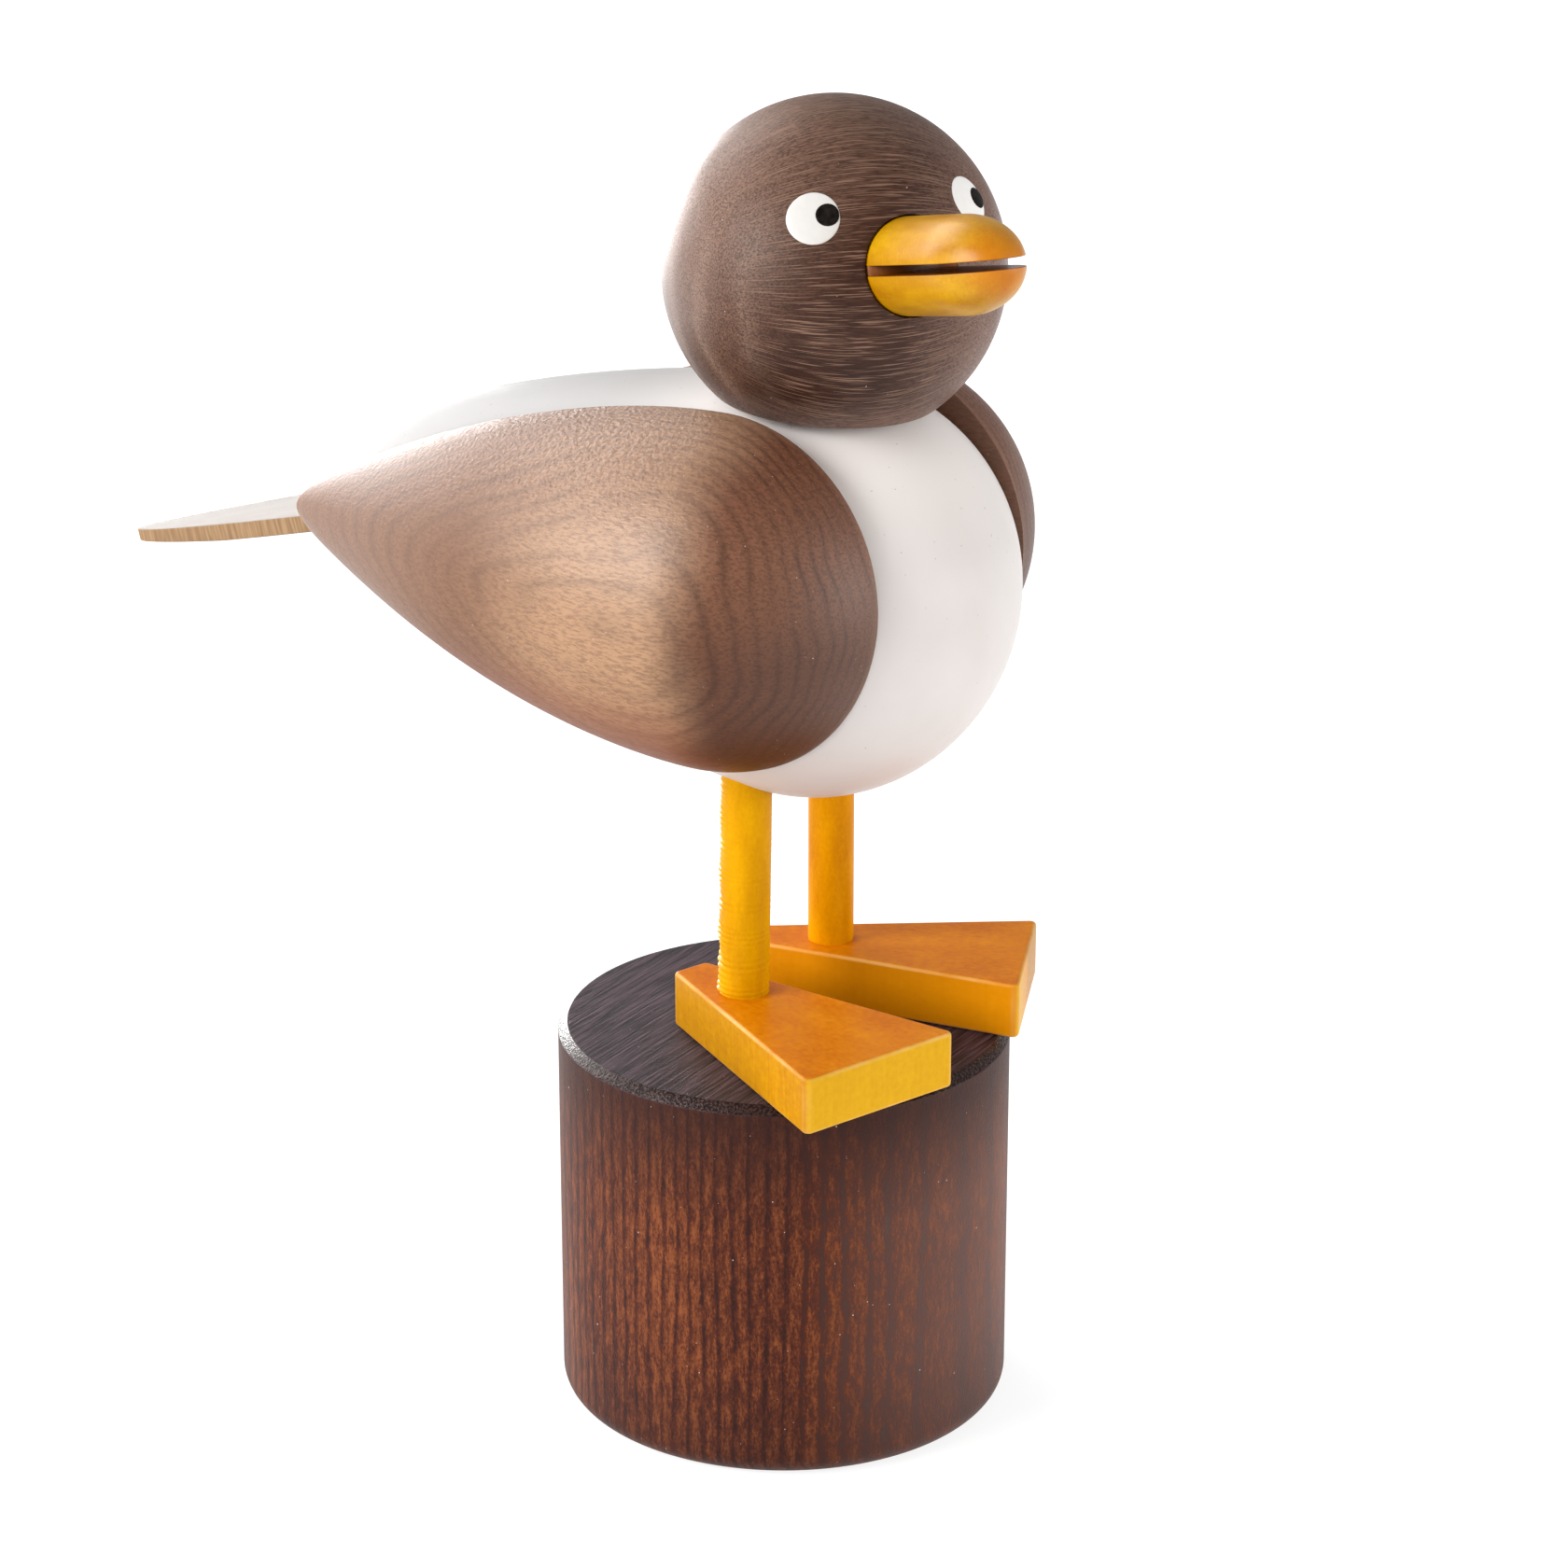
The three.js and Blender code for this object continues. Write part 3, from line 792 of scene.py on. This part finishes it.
def walnut_stained_head():
    """Walnut-stained open-pored hardwood, turned, under satin lacquer.

    The grain runs from ear to ear, so the eye sees long thin pale pores across the face, and fine
    specks at the ears, where pale growth rings also show as arcs. The pores lie on a cylinder
    about the grain's axis and are drawn in to the ball, so each stays a line on the skin.
    """
    material, tree, space = start_material("walnut_stained_head", GRAIN_PLACE)
    x, y, z = add(tree, "SeparateXYZ", space).outputs
    ball = HEAD["radius"]
    around = add(tree, "VectorMath", space, (0.0, 1.0, 1.0), **PRODUCT)
    around = add(tree, "VectorMath", around, operation="NORMALIZE")
    along = add(tree, "VectorMath", space, (1.0, 0.0, 0.0), **PRODUCT)
    skin = add(tree, "VectorMath", around, (ball, ball, ball), along, **PRODUCT_AND_SUM)
    # Real pores are about 0.05 to 0.1 mm wide. They are drawn a little wider, to show.
    pores = add(tree, "Mapping", skin, Scale=blots(5.0, 0.115, 0.115))
    pores = add(tree, "TexNoise", pores, 1.0, 1.0, 0.4)
    fine = add(tree, "Mapping", space, Scale=blots(1.5, 0.19, 0.19))
    fine = add(tree, "TexNoise", fine, 1.0, 2.0, 0.65)
    cloud = add(tree, "Mapping", space, Scale=blots(12, 5, 5))
    cloud = add(tree, "TexNoise", cloud, 1.0, 2.0, 0.5)
    ear = add(tree, "Math", add(tree, "Math", x, operation="ABSOLUTE"), 1 / ball, **PRODUCT)

    # Growth rings, 5.5 mm apart, that show as arcs at the ears
    ring_spacing = 5.5
    ring = add(tree, "Math", cloud, 3.0, y, **PRODUCT_AND_SUM)
    ring = add(tree, "Math", ring, 1 / ring_spacing, **PRODUCT)
    arcs = add(tree, "ValToRGB", add(tree, "Math", ring, operation="FRACT"), stops=[
        (0.0, "#000000"), (0.45, "#000000"), (0.8, "#FFFFFF"), (1.0, "#000000"),
    ])
    arcs = add(tree, "Math", arcs, add(tree, "MapRange", ear, 0.5, 0.9, 0.0, 0.4), **PRODUCT)

    # Pores, only where the skin lies along the grain
    face = add(tree, "MapRange", ear, 0.85, 0.40, 0.15, 1.0, **SOFT)
    dashes = add(tree, "MapRange", pores, 0.57, 0.63, 0.0, 0.85)
    dashes = add(tree, "Math", dashes, face, **PRODUCT)

    # Colour: the stain, with painted light and shade laid over it. The ears, the crown, the far
    # side and the bottom are painted paler, as painted light, and under the beak is painted darker,
    # as painted shade
    colour = add(tree, "ValToRGB", cloud, stops=[(0.3, "#331A11"), (0.5, "#402518"), (0.7, "#4D2F21")])
    # The ears are painted paler, as painted light that falls on the left ear, broken up by fine
    # specks.
    painted_ear_light = add(tree, "MapRange", fine, 0.40, 0.62, 0.5, 0.12)
    painted_ear_light = add(tree, "Math", painted_ear_light, add(tree, "MapRange", ear, 0.45, 1.0), **PRODUCT)
    # The crown is painted paler, more so towards the left ear, as painted light from above.
    crown = add(tree, "Math", x, -0.9, z, **PRODUCT_AND_SUM)
    crown = add(tree, "MapRange", crown, 8.0, 24.0, 0.0, 0.75)
    # Painted shade under the beak.
    from_beak = add(tree, "Math", add(tree, "Math", x, 5.0, **SUM), operation="ABSOLUTE")
    shade_under_beak = add(tree, "Math", add(tree, "MapRange", z, -1.0, -9.0, 0.0, 0.5),
                     add(tree, "MapRange", from_beak, 9.0, 5.0), **PRODUCT)
    # The far side and the bottom are painted paler, as painted light from the room and the floor.
    thin = add(tree, "Math", add(tree, "MapRange", x, 3.0, 14.0, 0.0, 0.75),
               add(tree, "MapRange", z, -11.0, -15.0, 0.0, 0.65), operation="MAXIMUM")
    specks = add(tree, "MapRange", fine, 0.42, 0.60, 0.0, 0.65)
    dust = add(tree, "Mapping", space, Scale=blots(0.35, 0.35, 0.35))
    dust = add(tree, "TexNoise", dust, 1.0, 1.0, 0.5)
    dust = add(tree, "MapRange", dust, 0.80, 0.83, 0.0, 0.8)
    for mask, stain in [
        (painted_ear_light, "#8A6752"), (arcs, "#A58A78"), (crown, "#7E5F4E"), (shade_under_beak, "#2A150D"),
        (thin, "#866658"), (specks, "#2A1611"), (dashes, "#826453"), (dust, "#D8C8BA"),
    ]:
        colour = add(tree, "Mix", mask, colour, stain, **COLOURS)

    relief = add(tree, "Math", dashes, -0.5, fine, **PRODUCT_AND_SUM)
    roughness = add(tree, "MapRange", fine, 0.3, 0.7, 0.36, 0.48)
    gloss = add(tree, "MapRange", ear, 0.80, 1.0, 0.0, 0.75)
    end_material(tree, colour, roughness, relief, 0.035, IOR=1.3, Coat_Weight=gloss, Coat_IOR=1.7,
                 Coat_Roughness=0.42)
    return material


def white_lacquer_body():
    """White lacquer over turned hardwood.

    The eye sees an even satin white, a little warm, with faint brush waves and a few specks of
    dust. It is painted darker below as painted shade, brighter on top at the neck as painted light
    where the head shades it, and duller towards the tail and on its flanks as painted shade
    against the strong light from behind.
    """
    material, tree, space = start_material("white_lacquer_body", BODY_PLACE)
    x, y, z = add(tree, "SeparateXYZ", space).outputs
    cloud = add(tree, "Mapping", space, Scale=blots(14, 20, 14))
    cloud = add(tree, "TexNoise", cloud, 1.0, 3.0, 0.5)
    brush = add(tree, "Mapping", space, Scale=blots(1.2, 14, 1.2))
    brush = add(tree, "TexNoise", brush, 1.0, 2.0, 0.5)
    colour = add(tree, "ValToRGB", cloud, stops=[(0.3, "#CEC7C3"), (0.7, "#D6D0CD")])
    # Painted shade below.
    below = add(tree, "MapRange", z, -6.0, -24.0, 0.0, 0.8, **SOFT)
    # Painted light on top, where the head shades the body.
    neck = add(tree, "MapRange", z, 8.0, 20.0, 0.0, 0.8, **SOFT)
    # Painted shade towards the tail, more on the flanks, against the strong light from behind.
    back = add(tree, "MapRange", y, 0.0, 26.0, 0.0, 1.0, **SOFT)
    flank = add(tree, "MapRange", add(tree, "Math", x, operation="ABSOLUTE"), 8.0, 15.0, **SOFT)
    back_shade = add(tree, "Mix", flank, "#B2B0AF", "#8F8D8C", **COLOURS)
    dust = add(tree, "Mapping", space, Scale=blots(0.5, 0.5, 0.5))
    dust = add(tree, "TexNoise", dust, 1.0, 1.0, 0.5)
    dust = add(tree, "MapRange", dust, 0.77, 0.80, 0.0, 0.5)
    for mask, white in [
        (below, "#C8B8B0"), (neck, "#F0EAE6"), (back, back_shade), (dust, "#8F7A6C"),
    ]:
        colour = add(tree, "Mix", mask, colour, white, **COLOURS)
    relief = add(tree, "Mix", 0.5, brush, cloud, **NUMBERS)
    roughness = add(tree, "MapRange", brush, 0.3, 0.7, 0.30, 0.42)
    gloss = add(tree, "MapRange", y, 0.0, 30.0, 0.37, 0.0)
    end_material(tree, colour, roughness, relief, 0.03, IOR=1.1, Coat_Weight=gloss,
                 Coat_Roughness=0.36)
    return material


def white_lacquer_tail():
    """White lacquer on both faces of a thin sawn board whose edge is left bare.

    The eye sees a thin matt white coat, and a pale brown edge with fibre across its thickness.
    """
    material, tree, space = start_material("white_lacquer_tail", TAIL_PLACE)
    lacquered = add(tree, "Attribute", attribute_name="lacquered").outputs["Fac"]
    cloud = add(tree, "Mapping", space, Scale=blots(6, 12, 6))
    cloud = add(tree, "TexNoise", cloud, 1.0, 3.0, 0.5)
    fibre = add(tree, "Mapping", space, Scale=blots(0.45, 0.45, 5.0))
    fibre = add(tree, "TexNoise", fibre, 1.0, 2.0, 0.5)
    white = add(tree, "ValToRGB", cloud, stops=[(0.3, "#968F8A"), (0.7, "#A09994")])
    bare = add(tree, "ValToRGB", fibre, stops=[(0.3, "#7E634A"), (0.5, "#8C7054"), (0.7, "#9A7E60")])
    colour = add(tree, "Mix", lacquered, bare, white, **COLOURS)
    roughness = add(tree, "MapRange", lacquered, 0.0, 1.0, 0.7, 0.6)
    end_material(tree, colour, roughness, fibre, 0.03, IOR=1.1)
    return material


def yellow_stained(name, where, stops, fibre_size, cloud_size, shine, tip=()):
    """Pale wood under a clear yellow-orange stain and a thin gloss lacquer.

    The eye sees a mottled clear colour with a little raised fibre. The shine is the lacquer's
    IOR. Where a tip is given, the piece is the beak: its end grain has drunk more stain, which
    darkens it between two distances along Y, and the faces of its saw cut are painted dark brown,
    as painted shade.
    """
    material, tree, space = start_material(name, where)
    fibre = add(tree, "Mapping", space, Scale=blots(*fibre_size))
    fibre = add(tree, "TexNoise", fibre, 1.0, 3.0, 0.6)
    cloud = add(tree, "Mapping", space, Scale=blots(*cloud_size))
    cloud = add(tree, "TexNoise", cloud, 1.0, 3.0, 0.55)
    fuzz = add(tree, "Mapping", space, Scale=blots(0.35, 0.35, 0.6))
    fuzz = add(tree, "TexNoise", fuzz, 1.0, 3.0, 0.7)
    mottle = add(tree, "Mix", 0.35, cloud, fuzz, **NUMBERS)
    colour = add(tree, "ValToRGB", mottle, stops=stops)
    if tip:
        y, z = add(tree, "SeparateXYZ", space).outputs[1:]
        drunk = add(tree, "MapRange", y, *tip, 0.0, 0.8, **SOFT)
        # The faces of the saw cut are painted dark brown, as painted shade in the cut.
        shade_in_cut = add(tree, "Math", z, operation="ABSOLUTE")
        shade_in_cut = add(tree, "MapRange", shade_in_cut, 0.66, 0.57, 0.0, 0.85)
        for mask, stain in [(drunk, "#C46806"), (shade_in_cut, "#6A2A08")]:
            colour = add(tree, "Mix", mask, colour, stain, **COLOURS)
    roughness = add(tree, "MapRange", cloud, 0.3, 0.7, 0.26, 0.4)
    relief = add(tree, "Mix", 0.5, fibre, fuzz, **NUMBERS)
    end_material(tree, colour, roughness, relief, 0.035, IOR=shine)
    return material


def yellow_stained_foot(side):
    """Yellow-stained softwood board, sawn and sanded, under a thin gloss lacquer.

    The eye sees a mottled orange top, yellower sawn edges with upright saw marks, a brighter toe,
    and pale worn arrises. The inner side of the left foot's edge is painted a deeper orange, as
    painted shade.
    """
    material, tree, space = start_material("yellow_stained_foot_" + side, foot_place(side))
    x, y = add(tree, "SeparateXYZ", space).outputs[:2]
    top = add(tree, "Attribute", attribute_name="top_face").outputs["Fac"]
    worn = add(tree, "Attribute", attribute_name="worn_edge").outputs["Fac"]
    saw_marks = add(tree, "Mapping", space, Scale=blots(0.55, 0.55, 14))
    saw_marks = add(tree, "TexNoise", saw_marks, 1.0, 2.0, 0.5)
    cloud = add(tree, "Mapping", space, Scale=blots(5, 9, 5))
    cloud = add(tree, "TexNoise", cloud, 1.0, 3.0, 0.5)
    mottle = add(tree, "Mapping", space, Scale=blots(0.7, 1.0, 0.7))
    mottle = add(tree, "TexNoise", mottle, 1.0, 3.0, 0.6)
    edge_value = add(tree, "Mix", 0.6, saw_marks, mottle, **NUMBERS)
    edge = add(tree, "ValToRGB", edge_value, stops=[
        (0.3, "#A86C00"), (0.5, "#B47900"), (0.7, "#C08700"),
    ])
    toe = add(tree, "ValToRGB", edge_value, stops=[
        (0.3, "#D09804"), (0.5, "#D69F08"), (0.7, "#DCA60E"),
    ])
    if side == "left":
        # Painted shade: the left foot's inner edge is painted a deeper orange.
        inner = add(tree, "MapRange", x, 0.5, -2.0, 0.0, 0.7)
        edge = add(tree, "Mix", inner, edge, "#D98404", **COLOURS)
    at_toe = add(tree, "MapRange", y, 0.5 - FOOT["length"], 0.1 - FOOT["length"])
    edge = add(tree, "Mix", at_toe, edge, toe, **COLOURS)
    face_value = add(tree, "Mix", 0.5, cloud, mottle, **NUMBERS)
    face = add(tree, "ValToRGB", face_value, stops=[
        (0.32, "#BC6200"), (0.5, "#CC7500"), (0.68, "#D88706"),
    ])
    wear = add(tree, "Math", worn, add(tree, "MapRange", cloud, 0.35, 0.65, 0.1, 0.5), **PRODUCT)
    colour = add(tree, "Mix", top, edge, face, **COLOURS)
    colour = add(tree, "Mix", wear, colour, "#EFC27A", **COLOURS)
    roughness = add(tree, "MapRange", mottle, 0.3, 0.7, 0.28, 0.42)
    end_material(tree, colour, roughness, mottle, 0.03, IOR=1.2)
    return material


def brown_stained_stand():
    """Dark-stained diffuse-pored hardwood with upright grain, turned, under satin lacquer.

    The growth rings are upright sheets along X. The eye sees them as scored lines on the end
    grain, ragged upright lines where the side cuts across them, and broad figure where it runs
    along them, painted on the front side only in a pale mauve that is also painted sheen. The
    lacquer stands in small beads on the chamfer, and the side is painted darker near the top and
    the bottom, as painted shade.
    """
    material, tree, space = start_material("brown_stained_stand", STAND_PLACE)
    y, z = add(tree, "SeparateXYZ", space).outputs[1:]

    # Growth rings, 1.85 mm apart, and the streaks and ragged fibre between them
    ring_spacing = 1.85
    wander = add(tree, "Mapping", space, Scale=blots(5, 5, 24))
    wander = add(tree, "TexNoise", wander, 1.0, 2.0, 0.5)
    ring = add(tree, "Math", wander, 2.0, y, **PRODUCT_AND_SUM)
    ring = add(tree, "Math", ring, 1 / ring_spacing, **PRODUCT)
    line = add(tree, "ValToRGB", add(tree, "Math", ring, operation="FRACT"), stops=[
        (0.0, "#606060"), (0.18, "#000000"), (0.55, "#202020"), (0.85, "#FFFFFF"), (1.0, "#606060"),
    ])
    # Real fibre is finer than 0.1 mm. It is drawn 0.26 mm wide, to show at this picture's size.
    ragged = add(tree, "Mapping", space, Scale=blots(0.26, 0.26, 0.5))
    ragged = add(tree, "TexNoise", ragged, 1.0, 3.0, 0.7)
    streak = add(tree, "Mapping", space, Scale=blots(0.6, 0.6, 2.4))
    streak = add(tree, "TexNoise", streak, 1.0, 3.0, 0.6)
    cloud = add(tree, "Mapping", space, Scale=blots(10, 10, 45))
    cloud = add(tree, "TexNoise", cloud, 1.0, 2.0, 0.5)
    tone = add(tree, "Mix", 0.5, streak, ragged, **NUMBERS)
    tone = add(tree, "Math", line, -0.15, tone, **PRODUCT_AND_SUM)
    tone = add(tree, "Math", cloud, 0.2, tone, **PRODUCT_AND_SUM)
    colour = add(tree, "ValToRGB", tone, stops=[
        (0.40, "#2A0E07"), (0.51, "#43190C"), (0.59, "#582811"), (0.74, "#804422"),
    ])

    # Where the side runs along the rings, which also carries painted sheen, painted shade near
    # the top and the bottom, the end grain and the chamfer
    # The figure where the side runs along the rings, on the front side only, in a pale mauve that is
    # also painted sheen.
    figure_and_sheen = add(tree, "Math", tone, 20.0, y, **PRODUCT_AND_SUM)
    figure_and_sheen = add(tree, "MapRange", figure_and_sheen, -6.0, -18.0, 0.0, 0.4)
    # Painted shade near the bottom, and near the top, under the feet.
    darker = add(tree, "Math", add(tree, "MapRange", z, 15.0, 0.0, 0.0, 0.5),
                 add(tree, "MapRange", z, 32.0, 46.0, 0.0, 0.8), operation="MAXIMUM")
    scores = add(tree, "Mapping", space, Scale=blots(9, 0.32, 9))
    scores = add(tree, "TexNoise", scores, 1.0, 3.0, 0.7)
    end_grain = add(tree, "ValToRGB", scores, stops=[
        (0.36, "#0F090B"), (0.48, "#2F2127"), (0.62, "#503D45"),
    ])
    on_top = add(tree, "MapRange", z, STAND["height"] - 1.3, STAND["height"] - 0.6)
    dust = add(tree, "Mapping", space, Scale=blots(0.4, 0.4, 0.5))
    dust = add(tree, "TexNoise", dust, 1.0, 1.0, 0.5)
    dust = add(tree, "MapRange", dust, 0.80, 0.82, 0.0, 0.8)
    chamfer = add(tree, "Attribute", attribute_name="chamfer").outputs["Fac"]
    beads = add(tree, "Mapping", space, Scale=blots(0.28, 0.28, 0.28))
    beads = add(tree, "TexNoise", beads, 1.0, 2.0, 0.5)
    beaded = add(tree, "Mix", add(tree, "MapRange", beads, 0.42, 0.6), "#1C0F0D", "#38241F",
                 **COLOURS)
    for mask, stain in [
        (figure_and_sheen, "#7E625A"), (darker, "#2A100A"), (on_top, end_grain), (dust, "#D8CCC6"),
        (chamfer, beaded),
    ]:
        colour = add(tree, "Mix", mask, colour, stain, **COLOURS)

    relief = add(tree, "Mix", on_top, ragged, scores, **NUMBERS)
    relief = add(tree, "Mix", chamfer, relief, beads, **NUMBERS)
    roughness = add(tree, "MapRange", ragged, 0.3, 0.7, 0.42, 0.54)
    roughness = add(tree, "Mix", chamfer, roughness, 0.26, **NUMBERS)
    gloss = add(tree, "MapRange", beads, 0.45, 0.62, 0.0, 0.42)
    gloss = add(tree, "Math", chamfer, gloss, **PRODUCT)
    end_material(tree, colour, roughness, relief, 0.09, IOR=1.25, Coat_Weight=gloss,
                 Coat_Roughness=0.26)
    return material


def eye_enamel(name, colour, shine):
    """Gloss enamel dabbed on by hand, whose shine is its IOR.

    The eye sees a nearly even colour, with soft waves left by the brush.
    """
    material, tree, space = start_material(name, HEAD_PLACE)
    waves = add(tree, "Mapping", space, Scale=blots(0.8, 0.8, 0.8))
    waves = add(tree, "TexNoise", waves, 1.0, 2.0, 0.5)
    roughness = add(tree, "MapRange", waves, 0.3, 0.7, 0.12, 0.22)
    thinner = add(tree, "MapRange", waves, 0.3, 0.7, 0.0, 0.05)
    shade = add(tree, "Mix", thinner, colour, "#8A7C70", **COLOURS)
    end_material(tree, shade, roughness, waves, 0.03, IOR=shine)
    return material


# The pieces

stand = stand_rings()
make_piece("round_stand", [stand], STAND_PLACE, brown_stained_stand(), "stand",
           stand_marks(stand))

# The stain on the dowels and the beak, from its darker blots to its paler ones. The left leg is
# a little more orange than the right one.
LEG_STAIN = {
    "right": [(0.34, "#C08200"), (0.5, "#CC8F00"), (0.66, "#D89C00")],
    "left": [(0.34, "#C07800"), (0.5, "#D08800"), (0.66, "#DE9800")],
}
BEAK_STAIN = [(0.34, "#A46B00"), (0.5, "#B37E00"), (0.66, "#C39100")]

for side in SIDES:
    foot = foot_rings(side)
    make_piece(
        "foot_board_" + side, [foot], foot_place(side), yellow_stained_foot(side),
        "foot_" + side, foot_marks(foot),
    )
    stain = yellow_stained(
        "yellow_stained_dowel_" + side, leg_place(side), LEG_STAIN[side],
        fibre_size=(0.4, 0.4, 9), cloud_size=(3, 3, 12), shine=1.12,
    )
    make_piece(
        "leg_dowel_" + side, [leg_rings(side)], leg_place(side), stain,
        "leg_" + side,
    )
    make_piece(
        "wing_slice_" + side, [wing_rings(side)], wing_place(side), walnut_stained_wing(side),
        "wing_" + side,
    )

make_piece("body_egg", [body_rings()], BODY_PLACE, white_lacquer_body(), "body")
tail = tail_rings()
make_piece("tail_board", [tail], TAIL_PLACE, white_lacquer_tail(), "tail",
           tail_marks(tail))
make_piece("head_ball", [head_rings()], BEAK_PLACE, walnut_stained_head(), "head")
beak_stain = yellow_stained(
    "yellow_stained_beak", BEAK_PLACE, BEAK_STAIN, fibre_size=(0.4, 9, 0.4),
    cloud_size=(3, 12, 3), shine=1.35, tip=(-36.5, -42.0),
)
make_piece("beak_dowel", beak_skins(), BEAK_PLACE, beak_stain, "beak")

# The left eye is turned from the light, so its white is painted brighter than the right one's,
# as painted light, and both look equally bright.
EYE_WHITE = {"right": "#D2CFCB", "left": "#F2F0ED"}
black_enamel = eye_enamel("black_enamel", "#0C0908", shine=1.15)
for side, eye in EYES.items():
    white_enamel = eye_enamel("white_enamel_" + side, EYE_WHITE[side], shine=1.3)
    *towards, radius = eye["white"]
    white = paint_dot_rings(direction_of(*towards), radius, lift=0.0)
    make_piece("eye_white_" + side, [white], EYE_PLACE, white_enamel)
    *towards, radius = eye["pupil"]
    pupil = paint_dot_rings(direction_of(*towards), radius, lift=FILM)
    make_piece("eye_pupil_" + side, [pupil], EYE_PLACE, black_enamel)

# The floor

floor_mesh = bpy.data.meshes.new("white_floor")
half_floor = 4.0
floor_corners = [(-half_floor, -half_floor, 0), (half_floor, -half_floor, 0),
                 (half_floor, half_floor, 0), (-half_floor, half_floor, 0)]
floor_mesh.from_pydata(floor_corners, [], [(0, 1, 2, 3)])
floor = bpy.data.objects.new("white_floor", floor_mesh)
bpy.context.collection.objects.link(floor)
floor_material, floor_tree, _ = start_material("white_card", STAND_PLACE)
add(floor_tree, "OutputMaterial", add(
    floor_tree, "BsdfPrincipled", Base_Color="#8C8C8C", Roughness=0.9, Emission_Color="#FFFFFF",
    Emission_Strength=0.83,
))
floor_mesh.materials.append(floor_material)
